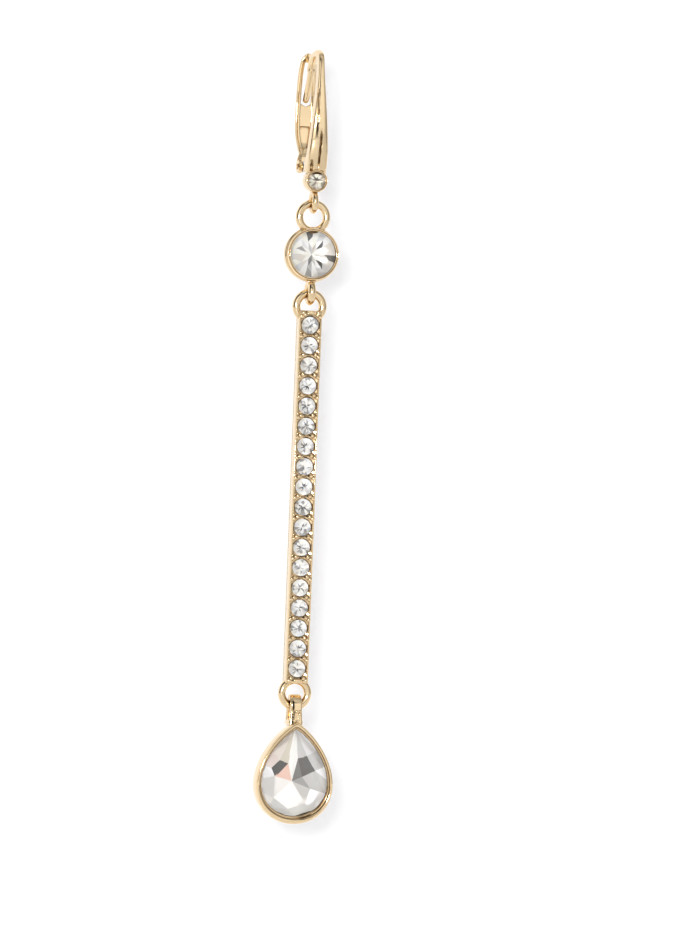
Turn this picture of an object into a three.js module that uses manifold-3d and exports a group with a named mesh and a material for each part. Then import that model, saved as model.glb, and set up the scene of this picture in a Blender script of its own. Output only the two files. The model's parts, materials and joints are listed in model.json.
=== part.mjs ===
// Teardrop earring: a long drop earring on a lever back.
// Millimetres, +Z up, the front faces -Y. The origin is the middle of the ear wire at its
// highest point, where the earring hangs in the ear lobe. Drops are counted down from there,
// and places from front to back are counted from the front of the arm's foot.

import * as THREE from "three";
import Module from "manifold-3d";
import { mergeVertices } from "three/addons/utils/BufferGeometryUtils.js";
import { ConvexGeometry } from "three/addons/geometries/ConvexGeometry.js";

const wasm = await Module();
wasm.setup();

// Clearances
const stoneGap = 0.04;
const pinGap = 0.04;
const cheekGap = 0.08;
const hangGap = 0.05;

// Front arm of the hook
const armDrop = 13.0;
const armFootWidth = 2.25;
const armTopWidth = 0.65;
const armDepth = 1.5;
const armFootDepth = 2.5;
const armNeckDepth = 1.2;
const armBow = 0.85;

// Ear wire: a shoulder over the top, then a thinner wire down to its tip
const shoulderDiameter = 0.9;
const shoulderReach = 4.9;
const shoulderDrop = 1.9;
const wireDiameter = 0.72;
const wireReach = 7.2;
const wireDrop = 4.95;
const wireCrest = 2.2;

// Small bezel at the arm's foot
const hookBezelDiameter = 2.5;
const hookRimDiameter = 2.4;
const hookRimHeight = 0.4;
const hookBackDiameter = 2.3;
const hookBezelOpening = 1.85;
const hookBezelDepth = 2.5;
const hookBezelDrop = 13.8;
const hookBezelProud = 0.12;
const hookStoneHeight = 1.2;

// Hinge behind the arm's foot
const hingeBack = 5.4;
const hingeDrop = 12.1;
const lugWidth = 0.9;
const lugRadius = 0.64;
const pinDiameter = 0.6;
const pinProud = 0.1;
const cheekThickness = 0.5;
const cheekRadius = 0.7;

// Lever
const leverTopRise = 0.3;
const leverBack = 7.1;
const leverThickness = 0.6;
const leverWidth = 2.15;
const leverRail = 0.34;
const windowTopDrop = 0.7;
const windowPointWidth = 0.04;
const bridgeTopDrop = 5.3;
const bridgeNotch = 0.18;
const bridgeFootDrop = 7.7;
const lowerWindowFootDrop = 10.1;
const forkDrop = 11.2;

// Plane that the rings hang in, behind the arm's face
const hangPlane = 1.3;

// Ring below the small bezel, seen edge-on from the front
const hookRingOpening = 1.24;
const hookRingWire = 0.68;
const hookRingDrop = 16.04;

// Connector: a round bezel with a loop above and a ring below
const connectorLoopOpening = 2.14;
const connectorLoopWire = 0.84;
const connectorLoopDrop = 5.09;
const connectorRingOpening = 1.15;
const connectorRingWire = 0.85;
const connectorRingDrop = 4.65;
const connectorDiameter = 5.95;
const connectorRimDiameter = 5.66;
const connectorRimHeight = 0.8;
const connectorBackDiameter = 4.9;
const connectorOpening = 5.0;
const connectorDepth = 2.6;
const connectorFront = 1.1;
const connectorStoneHeight = 2.1;

// Stone bar
const stoneCount = 18;
const stonePitch = 2.175;
const barStoneDiameter = 1.98;
const barStoneHeight = 1.2;
const barStoneProud = 0.12;
const barWidth = 2.45;
const barDepth = 1.9;
const barFront = 0.95;
const barEnd = 0.58;
const barRail = 0.19;
const barCrossbar = 0.19;
const pocketDepth = 0.3;
const barRingOpening = 2.0;
const barRingWire = 0.9;
const barRingDrop = 1.46;
const barFootRingOpening = 2.0;
const barFootRingWire = 0.84;
const barFootRingDrop = 2.12;
const beadDiameter = 0.52;
const beadSpread = 1.76;

// Pear drop
const pearWidth = 8.5;
const pearHeight = 11.0;
const pearRim = 0.62;
const pearTipRim = 0.75;
const pearFootRim = 0.8;
const pearDepth = 3.2;
const pearFront = 1.92;
const pearStoneHeight = 2.9;
const bailOpening = 1.16;
const bailThickness = 0.66;
const bailWidth = 1.25;
const bailDrop = 2.26;
const bailFootWidth = 1.55;
const bailFootDrop = 0.5;
const bailFootRise = 0.3;

// Bezels: how far the lip reaches over the stone, the bevel round the lip, where a cup
// starts to narrow as a share of its depth, and the same for the pear's cup with its back's share
const lipCover = 0.12;
const lipBevel = 0.1;
const cupNarrowing = 0.45;
const pearNarrowing = 0.6;
const pearBackShare = 0.92;
const mouthShare = 0.5;
const lipShare = 0.9;

// How far a neck runs into the cup it stands on
const neckSink = 0.15;

// Cut of the stones, as shares of a stone's width and height
const tableShare = 0.56;
const crownShare = 0.26;
const girdleShare = 0.07;
const pavilionShare = 0.5;
const culetShare = 0.06;

// Pear outline: how pointed its top is, and where its facets meet below the middle
const pearPoint = 0.62;
const pearFocus = 0.1;

// Flat sides on round forms
const ringSides = 16;
const wireSides = 6;
const armSides = 12;
const pinSides = 16;
const bezelSides = 32;
const smallBezelSides = 20;
const stoneSides = 16;
const smallStoneSides = 8;
const pearSides = 32;
const beadSides = 6;
const leverWidthSteps = 36;
const leverSideSteps = 22;

// Points nearer than this are one point
const weldDistance = 1e-5;

// How square the arm's section is: 1 is an oval, less is squarer
const armSquareness = 0.5;

const goldFinish = { color: 0xe3c99a, roughness: 0.16, metalness: 1 };
const crystalFinish = { color: 0xeef0f2, roughness: 0.04, metalness: 0 };

// A closed geometry as a solid
function solid(geometry) {
  const bare = geometry.clone();
  bare.deleteAttribute("normal");
  bare.deleteAttribute("uv");
  const merged = mergeVertices(bare, weldDistance);
  const vertProperties = new Float32Array(merged.attributes.position.array);
  const triVerts = new Uint32Array(merged.index.array);
  return new wasm.Manifold(new wasm.Mesh({ numProp: 3, vertProperties, triVerts }));
}

// A solid as a geometry
function geometryOf(body) {
  const mesh = body.getMesh();
  const geometry = new THREE.BufferGeometry();
  geometry.setAttribute("position", new THREE.BufferAttribute(mesh.vertProperties, 3));
  geometry.setIndex(new THREE.BufferAttribute(mesh.triVerts, 1));
  geometry.computeVertexNormals();
  return geometry;
}

function union(bodies) {
  return bodies.reduce((whole, body) => whole.add(body));
}

// A block between two heights, centred on the middle plane
function block(width, front, back, low, high) {
  const box = new THREE.BoxGeometry(width, back - front, high - low);
  return solid(box.translate(0, (front + back) / 2, (low + high) / 2));
}

// A round rod across the earring
function crossRod(diameter, width, sides, y, z) {
  const rod = new THREE.CylinderGeometry(diameter / 2, diameter / 2, width, sides);
  return solid(rod.rotateZ(Math.PI / 2).translate(0, y, z));
}

// A ring that hangs in the middle plane of the front view, or edge-on to it
function ring(opening, wire, edgeOn, y, z) {
  const torus = new THREE.TorusGeometry((opening + wire) / 2, wire / 2, wireSides, ringSides);
  if (edgeOn) {
    torus.rotateY(Math.PI / 2);
  } else {
    torus.rotateX(Math.PI / 2);
  }
  return solid(torus.translate(0, y, z));
}

// Side view of an arch: a round top over two straight legs that end at the foot height
function archShape(opening, thickness, y, z, foot) {
  const inner = opening / 2;
  const outer = inner + thickness;
  const shape = new THREE.Shape();
  shape.moveTo(y + outer, foot);
  shape.absarc(y, z, outer, 0, Math.PI, false);
  shape.lineTo(y - outer, foot);
  shape.lineTo(y - inner, foot);
  shape.absarc(y, z, inner, Math.PI, 0, true);
  shape.lineTo(y + inner, foot);
  return shape;
}

// A body turned around an axis that runs from front to back.
// Each profile row is [radius, depth behind the front], from the front to the back.
function turned(profile, sides, front, z) {
  const points = profile.map(([radius, depth]) => new THREE.Vector2(radius, depth));
  const lathe = new THREE.LatheGeometry(points, sides);
  return solid(lathe.translate(0, front, z));
}

// A number raised to a power that keeps its sign
function bent(value, power) {
  return Math.sign(value) * Math.abs(value) ** power;
}

// A body lofted through sections that stand across a line in the side plane.
// Each row is { y, z, width, depth, square }, where square 1 is an oval and less is squarer.
function lofted(rows, sides) {
  const positions = [];
  const indices = [];
  rows.forEach((row, i) => {
    const before = rows[Math.max(i - 1, 0)];
    const after = rows[Math.min(i + 1, rows.length - 1)];
    const along = new THREE.Vector2(after.y - before.y, after.z - before.z).normalize();
    for (let k = 0; k < sides; k += 1) {
      const angle = (2 * Math.PI * (k + 0.5)) / sides;
      const side = (row.width / 2) * bent(Math.cos(angle), row.square);
      const across = (row.depth / 2) * bent(Math.sin(angle), row.square);
      positions.push(side, row.y - across * along.y, row.z + across * along.x);
    }
  });
  for (let i = 0; i < rows.length - 1; i += 1) {
    for (let k = 0; k < sides; k += 1) {
      const next = (k + 1) % sides;
      const low = i * sides;
      const high = low + sides;
      indices.push(low + k, high + next, low + next);
      indices.push(low + k, high + k, high + next);
    }
  }
  const last = (rows.length - 1) * sides;
  for (let k = 1; k < sides - 1; k += 1) {
    indices.push(0, k, k + 1);
    indices.push(last, last + k + 1, last + k);
  }
  const geometry = new THREE.BufferGeometry();
  geometry.setAttribute("position", new THREE.Float32BufferAttribute(positions, 3));
  geometry.setIndex(indices);
  return solid(geometry);
}

// A prism whose outline is seen from the front
function frontPrism(outline, front, back) {
  const depth = back - front;
  const prism = new THREE.ExtrudeGeometry(outline, { depth, bevelEnabled: false });
  return solid(prism.rotateX(Math.PI / 2).translate(0, back, 0));
}

// A prism whose outline is seen from the side, with the shape's x pointing back
function sidePrism(outline, width) {
  const shape = { depth: width, bevelEnabled: false, curveSegments: ringSides / 2 };
  const prism = new THREE.ExtrudeGeometry(outline, shape);
  prism.translate(0, 0, -width / 2);
  const turn = new THREE.Matrix4().set(0, 0, 1, 0, 1, 0, 0, 0, 0, 1, 0, 0, 0, 0, 0, 1);
  return solid(prism.applyMatrix4(turn));
}

// The girdle of a round stone, and of a pear stone with its point up.
// Each gives [x, z] for an angle from the lowest point and a share of the full size.
const roundOutline = (diameter) => (angle, share) => {
  const radius = (diameter / 2) * share;
  return [radius * Math.sin(angle), -radius * Math.cos(angle)];
};

const pearOutline = (width, height, rise) => (angle, share) => {
  const halfTurn = Math.atan2(Math.sin(angle / 2), Math.abs(Math.cos(angle / 2)));
  const fullest = Math.atan(1 / Math.sqrt(1 + pearPoint));
  const widest = Math.sin(2 * fullest) * Math.cos(fullest) ** pearPoint;
  const taper = Math.cos(halfTurn) ** pearPoint;
  const focus = -height * pearFocus;
  const x = ((width / 2) * Math.sin(angle) * taper) / widest;
  const z = -(height / 2) * Math.cos(angle);
  return [x * share, rise + focus + (z - focus) * share];
};

// A convex body through rings of one outline. Each row is [share, depth behind the front, turn].
function layered(outline, rows, sides, front, z) {
  const points = rows.flatMap(([share, depth, turn]) =>
    Array.from({ length: sides }, (_, k) => {
      const [x, up] = outline((2 * Math.PI * (k + turn)) / sides, share);
      return new THREE.Vector3(x, front + depth, z + up);
    })
  );
  return solid(new ConvexGeometry(points));
}

// Depths of a stone's girdle and tip behind its table
function stoneDepths(height) {
  const girdle = height * crownShare;
  const pavilion = girdle + height * girdleShare;
  return { girdle, pavilion, culet: height };
}

// A cut stone: table, crown, girdle, two rows of pavilion facets and a small culet
function stone(outline, height, sides, front, z) {
  const depths = stoneDepths(height);
  const middle = depths.pavilion + (depths.culet - depths.pavilion) * pavilionShare;
  const rows = [
    [tableShare, 0, 0],
    [1, depths.girdle, 0.5],
    [1, depths.pavilion, 0.5],
    [1 - pavilionShare + culetShare, middle, 0],
    [culetShare, depths.culet, 0.5],
  ];
  return layered(outline, rows, sides, front, z);
}

// The hollow that a stone sits in, with a lip that closes over the girdle.
// The opening and the seat are outlines, and proud is how far the table stands out.
function seat(opening, girdle, height, proud, sides, front, z) {
  const depths = stoneDepths(height);
  const foot = depths.culet + 2 * stoneGap;
  const lip = depths.girdle * mouthShare;
  const mouth = layered(opening, [[1, -height, 0.5], [1, lip, 0.5]], sides, front, z);
  const rows = [
    [lipShare, lip - proud, 0.5],
    [1, depths.girdle - stoneGap - proud, 0.5],
    [1, depths.pavilion + stoneGap - proud, 0.5],
    [1 - pavilionShare + 2 * culetShare, foot * (1 - pavilionShare / 2) - proud, 0.5],
    [3 * culetShare, foot - proud, 0.5],
  ];
  return mouth.add(layered(girdle, rows, sides, front, z));
}

const earring = new THREE.Group();

function addPiece(name, body, finish) {
  const mesh = new THREE.Mesh(geometryOf(body), new THREE.MeshStandardMaterial(finish));
  mesh.name = name;
  earring.add(mesh);
}

// Front arm and ear wire, from the arm's foot over the top to the wire's tip
function hookRows() {
  // share of the arm's drop, then of the gain in width and in depth from its top to its foot
  const arm = [
    [1, 1, 1],
    [0.93, 0.98, 0.75],
    [0.84, 0.93, 0.1],
    [0.73, 0.8, 0.05],
    [0.6, 0.62, 0],
    [0.45, 0.39, 0],
    [0.3, 0.17, 0],
    [0.17, 0.04, 0],
    [0.06, 0, 0],
  ].map(([drop, wide, deep]) => {
    const depth = armDepth + (armFootDepth - armDepth) * deep;
    return {
      y: depth / 2 - armBow * 4 * drop * (1 - drop),
      z: -armDrop * drop,
      width: armTopWidth + (armFootWidth - armTopWidth) * wide,
      depth,
      square: armSquareness,
    };
  });
  // share of the crest's place, share of the shoulder's drop, gain from the arm's thickness
  const rise = [
    [0.4, 0.16, 0.3],
    [0.7, 0.02, 0.8],
    [1, 0, 1],
  ].map(([back, drop, gain]) => ({
    y: wireCrest * back,
    z: -shoulderDrop * drop,
    width: armTopWidth + (shoulderDiameter - armTopWidth) * gain,
    depth: armNeckDepth + (shoulderDiameter - armNeckDepth) * gain,
    square: armSquareness + (1 - armSquareness) * gain,
  }));
  // share of the way from the crest to the shoulder's end, back and down
  const shoulder = [
    [0.45, 0.1],
    [0.78, 0.35],
    [0.95, 0.68],
    [1, 1],
  ].map(([back, drop]) => ({
    y: wireCrest + (shoulderReach - wireCrest) * back,
    z: -shoulderDrop * drop,
    width: shoulderDiameter,
    depth: shoulderDiameter,
    square: 1,
  }));
  // share of the way from the shoulder to the tip, back and down, and of the thickness
  const wire = [
    [0.04, 0.05, 1],
    [0.3, 0.38, 1],
    [0.62, 0.7, 1],
    [0.9, 0.93, 0.9],
    [1, 1, 0.45],
  ].map(([back, drop, thick]) => ({
    y: shoulderReach + (wireReach - shoulderReach) * back,
    z: -shoulderDrop - (wireDrop - shoulderDrop) * drop,
    width: wireDiameter * thick,
    depth: wireDiameter * thick,
    square: 1,
  }));
  return [...arm, ...rise, ...shoulder, ...wire];
}

// Outside of a round bezel cup, from the middle of its front to the middle of its back
function cupProfile(diameter, rimDiameter, rimHeight, backDiameter, depth) {
  const outer = diameter / 2;
  const rim = rimDiameter / 2;
  return [
    [0, 0],
    [rim - lipBevel, 0],
    [rim, lipBevel],
    [rim, rimHeight],
    [outer, rimHeight],
    [outer, rimHeight + (depth - rimHeight) * cupNarrowing],
    [backDiameter / 2, depth],
    [0, depth],
  ];
}

// Heights that the links hang at, from the ear down
const hookRingFoot = -hookRingDrop - hookRingOpening / 2;
const connectorTop = hookRingFoot + hangGap;
const connectorMiddle = connectorTop - connectorLoopDrop;
const connectorFoot = connectorMiddle - connectorRingDrop;
const barTop = connectorFoot + hangGap;
const barBodyTop = barTop - barRingDrop;
const barBodyHeight = (stoneCount - 1) * stonePitch + barStoneDiameter + 2 * barEnd;
const barBodyFoot = barBodyTop - barBodyHeight;
const barFoot = barBodyFoot - barFootRingDrop;
// The flat bail rests on the ring with its edges, a little above the ring's lowest place
const bailSeat = barFootRingOpening / 2 - Math.sqrt(barFootRingOpening ** 2 - bailWidth ** 2) / 2;
const pearTop = barFoot + bailSeat + hangGap;
const pearMiddle = pearTop - bailDrop - pearHeight / 2;

const pivot = { y: hingeBack, z: -hingeDrop };
const cheekInside = lugWidth / 2 + cheekGap;
const cheekOutside = cheekInside + cheekThickness;

function addHook() {
  const front = -hookBezelProud;
  const z = -hookBezelDrop;
  const opening = roundOutline(hookBezelOpening);
  const girdle = roundOutline(hookBezelOpening + 2 * lipCover);
  const hollow = roundOutline(hookBezelOpening + 2 * lipCover + 2 * stoneGap);
  const profile = cupProfile(
    hookBezelDiameter, hookRimDiameter, hookRimHeight, hookBackDiameter, hookBezelDepth
  );
  const cup = turned(profile, smallBezelSides, front, z);
  const lug = crossRod(2 * lugRadius, lugWidth, pinSides, pivot.y, pivot.z);
  const root = block(lugWidth, armDepth / 2, pivot.y, pivot.z - lugRadius, pivot.z + lugRadius);
  const hookRing = ring(hookRingOpening, hookRingWire, true, hangPlane, -hookRingDrop);
  const neckFoot = -hookRingDrop + (hookRingOpening + hookRingWire) / 2;
  const neck = block(hookRingWire, hangPlane - hookRingWire, hangPlane + hookRingWire,
    neckFoot, z - hookBezelDiameter / 2 + neckSink);
  const casting = union([lofted(hookRows(), armSides), cup, lug, root, hookRing, neck]);
  const bore = crossRod(pinDiameter + 2 * pinGap, 2 * lugWidth, pinSides, pivot.y, pivot.z);
  const hole = seat(opening, hollow, hookStoneHeight, 0, smallBezelSides, front, z);
  addPiece("ear_hook", casting.subtract(bore).subtract(hole), goldFinish);
  addPiece("hook_stone", stone(girdle, hookStoneHeight, stoneSides, front, z), crystalFinish);
  const pinWidth = 2 * (cheekOutside + pinProud);
  addPiece("hinge_pin", crossRod(pinDiameter, pinWidth, pinSides, pivot.y, pivot.z), goldFinish);
}

// Lever height for a share of the way from the pivot to its top
const leverHeight = (share) => pivot.z + (leverTopRise - pivot.z) * share;

// The lever's half width up its height: rows of height share and width share
function leverHalfWidths() {
  const cheek = cheekOutside / leverWidth;
  return new THREE.SplineCurve(
    [
      [0, cheek],
      [0.045, cheek],
      [0.085, 0.38],
      [0.118, 0.3],
      [0.15, 0.33],
      [0.21, 0.4],
      [0.3, 0.48],
      [0.4, 0.5],
      [0.5, 0.5],
      [0.67, 0.49],
      [0.8, 0.47],
      [0.88, 0.43],
      [0.93, 0.37],
      [0.965, 0.28],
      [0.99, 0.15],
      [1, 0.03],
    ].map(([share, half]) => new THREE.Vector2(half * leverWidth, leverHeight(share)))
  ).getPoints(leverWidthSteps);
}

// A closed outline from its right side, mirrored to the left
function mirroredShape(right) {
  const left = right.map((point) => new THREE.Vector2(-point.x, point.y)).reverse();
  return new THREE.Shape([...right, ...left]);
}

// A window inside the lever's rails between two drops, with a notch in its lower edge
function leverWindow(widths, topDrop, footDrop, notch) {
  const inside = widths
    .filter((point) => point.y < -topDrop && point.y > -footDrop && point.x > leverRail)
    .map((point) => new THREE.Vector2(point.x - leverRail, point.y));
  const foot = new THREE.Vector2(inside[0].x, -footDrop);
  const shape = mirroredShape([foot, ...inside, new THREE.Vector2(windowPointWidth / 2, -topDrop)]);
  const reach = leverBack * 2;
  const window = frontPrism(shape, 0, reach);
  if (notch === 0) {
    return window;
  }
  const vee = new THREE.Shape([
    new THREE.Vector2(-inside[0].x, -footDrop + notch),
    new THREE.Vector2(0, -footDrop - notch),
    new THREE.Vector2(inside[0].x, -footDrop + notch),
  ]);
  return window.add(frontPrism(vee, 0, reach));
}

// Side view of the lever: a bowed strip from the pivot to the top
function leverSide() {
  const middle = new THREE.SplineCurve(
    [
      [0, 0],
      [0.1, 0.6],
      [0.2, 0.88],
      [0.35, 1],
      [0.5, 1],
      [0.65, 0.91],
      [0.8, 0.76],
      [0.9, 0.65],
      [1, 0.53],
    ].map(([up, back]) => {
      return new THREE.Vector2(hingeBack + (leverBack - hingeBack) * back, leverHeight(up));
    })
  );
  const offset = (side) =>
    Array.from({ length: leverSideSteps + 1 }, (_, i) => {
      const at = middle.getPoint(i / leverSideSteps);
      const along = middle.getTangent(i / leverSideSteps);
      const half = (leverThickness / 2) * side;
      return new THREE.Vector2(at.x + along.y * half, at.y - along.x * half);
    });
  return new THREE.Shape([...offset(1), ...offset(-1).reverse()]);
}

function addLever() {
  const widths = leverHalfWidths();
  const leaf = frontPrism(mirroredShape(widths), 0, leverBack * 2);
  const strip = sidePrism(leverSide(), leverWidth * 2).intersect(leaf);
  const heel = crossRod(2 * cheekRadius, 2 * cheekOutside, pinSides, pivot.y, pivot.z);
  const slot = block(2 * cheekInside, 0, leverBack * 2, -hingeDrop - 2 * cheekRadius, -forkDrop);
  const bore = crossRod(pinDiameter + 2 * pinGap, leverWidth * 2, pinSides, pivot.y, pivot.z);
  const body = strip
    .subtract(leverWindow(widths, windowTopDrop, bridgeTopDrop, bridgeNotch))
    .subtract(leverWindow(widths, bridgeFootDrop, lowerWindowFootDrop, 0))
    .add(heel)
    .subtract(slot)
    .subtract(bore);
  addPiece("lever", body, goldFinish);
}

function addConnector() {
  const front = hangPlane - connectorFront;
  const z = connectorMiddle;
  const profile = cupProfile(
    connectorDiameter, connectorRimDiameter, connectorRimHeight, connectorBackDiameter,
    connectorDepth
  );
  const cup = turned(profile, bezelSides, front, z);
  const loopMiddle = connectorTop - connectorLoopOpening / 2;
  const loop = ring(connectorLoopOpening, connectorLoopWire, false, hangPlane, loopMiddle);
  const ringMiddle = connectorFoot + connectorRingOpening / 2;
  const lowRing = ring(connectorRingOpening, connectorRingWire, true, hangPlane, ringMiddle);
  const neckFoot = ringMiddle + (connectorRingOpening + connectorRingWire) / 2;
  const neck = block(connectorRingWire, hangPlane - connectorRingWire, hangPlane + connectorRingWire,
    neckFoot, z - connectorDiameter / 2 + neckSink);
  const opening = roundOutline(connectorOpening);
  const girdle = roundOutline(connectorOpening + 2 * lipCover);
  const hollow = roundOutline(connectorOpening + 2 * lipCover + 2 * stoneGap);
  const hole = seat(opening, hollow, connectorStoneHeight, 0, bezelSides, front, z);
  const setting = union([cup, loop, lowRing, neck]).subtract(hole);
  addPiece("connector_setting", setting, goldFinish);
  const gem = stone(girdle, connectorStoneHeight, stoneSides, front, z);
  addPiece("connector_stone", gem, crystalFinish);
}

function addBar() {
  const front = hangPlane - barFront;
  const outline = roundOutline(barStoneDiameter);
  const hollow = roundOutline(barStoneDiameter + 2 * stoneGap);
  const firstStone = barBodyTop - barEnd - barStoneDiameter / 2;
  const heights = Array.from({ length: stoneCount }, (_, i) => firstStone - i * stonePitch);
  const rail = block(barWidth, front, front + barDepth, barBodyFoot, barBodyTop);
  const topRing = ring(
    barRingOpening, barRingWire, false, hangPlane, barTop - barRingOpening / 2
  );
  const footRing = ring(
    barFootRingOpening, barFootRingWire, false, hangPlane, barFoot + barFootRingOpening / 2
  );
  const pocketWidth = barWidth - 2 * barRail;
  const pocketHeight = stonePitch - barCrossbar;
  const hollows = heights.flatMap((z) => [
    block(pocketWidth, front - barDepth, front + pocketDepth,
      z - pocketHeight / 2, z + pocketHeight / 2),
    seat(hollow, hollow, barStoneHeight, barStoneProud, smallStoneSides * 2, front, z),
  ]);
  const crossbars = [firstStone + stonePitch, ...heights].map((z) => z - stonePitch / 2);
  const beads = crossbars.flatMap((z) =>
    [-beadSpread / 2, beadSpread / 2].map((x) => {
      const bead = new THREE.SphereGeometry(beadDiameter / 2, beadSides, beadSides - 2);
      return solid(bead.rotateX(Math.PI / 2).translate(x, front, z));
    })
  );
  const body = union([rail, topRing, footRing]).subtract(union(hollows)).add(union(beads));
  addPiece("bar_setting", body, goldFinish);
  heights.forEach((z, i) => {
    const gem = stone(outline, barStoneHeight, smallStoneSides, front - barStoneProud, z);
    addPiece(`bar_stone_${String(i + 1).padStart(2, "0")}`, gem, crystalFinish);
  });
}

function addPear() {
  const front = hangPlane - pearFront;
  const z = pearMiddle;
  const outside = pearOutline(pearWidth, pearHeight, 0);
  const inside = (grow) =>
    pearOutline(
      pearWidth - 2 * pearRim + 2 * grow,
      pearHeight - pearFootRim - pearTipRim + 2 * grow,
      (pearFootRim - pearTipRim) / 2
    );
  const rimShare = 1 - (2 * lipBevel) / pearWidth;
  const cup = layered(
    outside,
    [[rimShare, 0, 0], [1, pearRim / 2, 0], [1, pearDepth * pearNarrowing, 0],
      [pearBackShare, pearDepth, 0]],
    pearSides, front, z
  );
  const bezelTop = z + pearHeight / 2;
  const archMiddle = pearTop - bailOpening / 2;
  const arch = archShape(bailOpening, bailThickness, hangPlane, archMiddle, bezelTop - bailFootDrop);
  const footDepth = bailOpening / 2 + bailThickness;
  const foot = block(bailFootWidth, hangPlane - footDepth, hangPlane + footDepth,
    bezelTop - bailFootDrop, bezelTop + bailFootRise);
  const hole = seat(
    inside(0), inside(lipCover + stoneGap), pearStoneHeight, 0, pearSides, front, z
  );
  const bail = sidePrism(arch, bailWidth);
  addPiece("pear_setting", union([cup, bail, foot]).subtract(hole), goldFinish);
  const gem = stone(inside(lipCover), pearStoneHeight, pearSides / 2, front, z);
  addPiece("pear_stone", gem, crystalFinish);
}

earring.position.y = -wireCrest;

addHook();
addLever();
addConnector();
addBar();
addPear();

export default earring;
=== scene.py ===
# Looks for the drop earring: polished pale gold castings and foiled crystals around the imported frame.
# Lengths in this script are millimetres in the frame's own axes, and become metres when a mesh is made.

import json
import math
import random

import bmesh
import bpy
from mathutils import Matrix, Vector


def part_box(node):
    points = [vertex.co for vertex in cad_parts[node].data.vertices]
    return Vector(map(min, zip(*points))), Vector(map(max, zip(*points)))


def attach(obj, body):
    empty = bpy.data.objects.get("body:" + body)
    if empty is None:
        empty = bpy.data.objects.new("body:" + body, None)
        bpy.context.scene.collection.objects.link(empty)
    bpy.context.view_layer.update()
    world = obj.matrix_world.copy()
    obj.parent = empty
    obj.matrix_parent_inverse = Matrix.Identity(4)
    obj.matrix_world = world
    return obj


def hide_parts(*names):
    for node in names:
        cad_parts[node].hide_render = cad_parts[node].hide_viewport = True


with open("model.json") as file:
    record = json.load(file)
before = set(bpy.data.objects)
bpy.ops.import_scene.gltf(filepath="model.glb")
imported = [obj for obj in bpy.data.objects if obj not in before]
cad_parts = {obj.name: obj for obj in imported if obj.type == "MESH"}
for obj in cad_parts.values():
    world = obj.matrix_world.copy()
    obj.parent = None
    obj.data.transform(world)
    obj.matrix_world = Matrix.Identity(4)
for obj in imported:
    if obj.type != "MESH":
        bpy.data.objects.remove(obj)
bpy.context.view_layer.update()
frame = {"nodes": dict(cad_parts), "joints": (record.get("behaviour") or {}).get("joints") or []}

MM = 0.001


def box(node):
    low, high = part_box(node)
    return Vector(low) / MM, Vector(high) / MM


def middle(node):
    low, high = box(node)
    return (low + high) / 2


def size(node):
    low, high = box(node)
    return high - low


# Places and sizes read from the frame
bar_stones = sorted(n for n in frame["nodes"] if n.startswith("bar_stone"))
joints = {joint["name"]: joint for joint in frame["joints"]}
hook_low, hook_high = box("ear_hook")
lever_low, lever_high = box("lever")
connector_low, connector_high = box("connector_setting")
bar_low, bar_high = box("bar_setting")
pear_low, pear_high = box("pear_setting")


def pivot_of(joint):
    return Vector(joints[joint]["pos_m"]) / MM


# Closed shells, gathered for one piece

class Shells:
    def __init__(self):
        self.points = []
        self.faces = []

    def loft(self, rings, closed=False):
        """Quads between rings of the same count. Open lofts get a flat cap at both ends."""
        start = len(self.points)
        count = len(rings[0])
        for ring in rings:
            self.points.extend(ring)
        spans = len(rings) if closed else len(rings) - 1
        for i in range(spans):
            low = start + i * count
            high = start + ((i + 1) % len(rings)) * count
            for k in range(count):
                n = (k + 1) % count
                self.faces.append((low + k, low + n, high + n, high + k))
        if not closed:
            self.faces.append(tuple(start + k for k in reversed(range(count))))
            last = start + (len(rings) - 1) * count
            self.faces.append(tuple(last + k for k in range(count)))

    def hull(self, points):
        """The convex hull of some points, with flat faces kept whole."""
        bm = bmesh.new()
        for point in points:
            bm.verts.new(point)
        bmesh.ops.convex_hull(bm, input=bm.verts)
        loose = [v for v in bm.verts if not v.link_faces]
        bmesh.ops.delete(bm, geom=loose, context="VERTS")
        bmesh.ops.dissolve_limit(
            bm, angle_limit=math.radians(0.8), verts=bm.verts, edges=bm.edges
        )
        bm.verts.index_update()
        start = len(self.points)
        self.points.extend(v.co.copy() for v in bm.verts)
        self.faces.extend(tuple(start + v.index for v in face.verts) for face in bm.faces)
        bm.free()


def make_mesh(name, shells, smooth_degrees, recalculate=True):
    mesh = bpy.data.meshes.new(name)
    mesh.from_pydata([p * MM for p in shells.points], [], shells.faces)
    if recalculate:
        bm = bmesh.new()
        bm.from_mesh(mesh)
        bmesh.ops.recalc_face_normals(bm, faces=bm.faces)
        bm.to_mesh(mesh)
        bm.free()
    piece = bpy.data.objects.new(name, mesh)
    bpy.context.scene.collection.objects.link(piece)
    if smooth_degrees:
        mesh.shade_smooth()
        mesh.set_sharp_from_angle(angle=math.radians(smooth_degrees))
    return piece


# Sections and paths

def circle(centre, along, radius, sides, side=None):
    """A ring of points across a direction."""
    along = along.normalized()
    first = side or (Vector((1, 0, 0)) if abs(along.x) < 0.9 else Vector((0, 1, 0)))
    first = (first - along * first.dot(along)).normalized()
    second = along.cross(first)
    return [
        centre
        + first * radius * math.cos(2 * math.pi * k / sides)
        + second * radius * math.sin(2 * math.pi * k / sides)
        for k in range(sides)
    ]


def spline(rows, steps):
    """Catmull-Rom through rows of numbers, with that many steps between two rows."""
    ends = [rows[0]] + list(rows) + [rows[-1]]
    out = []
    for i in range(1, len(ends) - 2):
        a, b, c, d = ends[i - 1:i + 3]
        for s in range(steps):
            t = s / steps
            out.append(tuple(
                0.5 * (2 * q + (r - p) * t + (2 * p - 5 * q + 4 * r - u) * t ** 2
                       + (3 * q - p - 3 * r + u) * t ** 3)
                for p, q, r, u in zip(a, b, c, d)
            ))
    out.append(tuple(rows[-1]))
    return out


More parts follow.
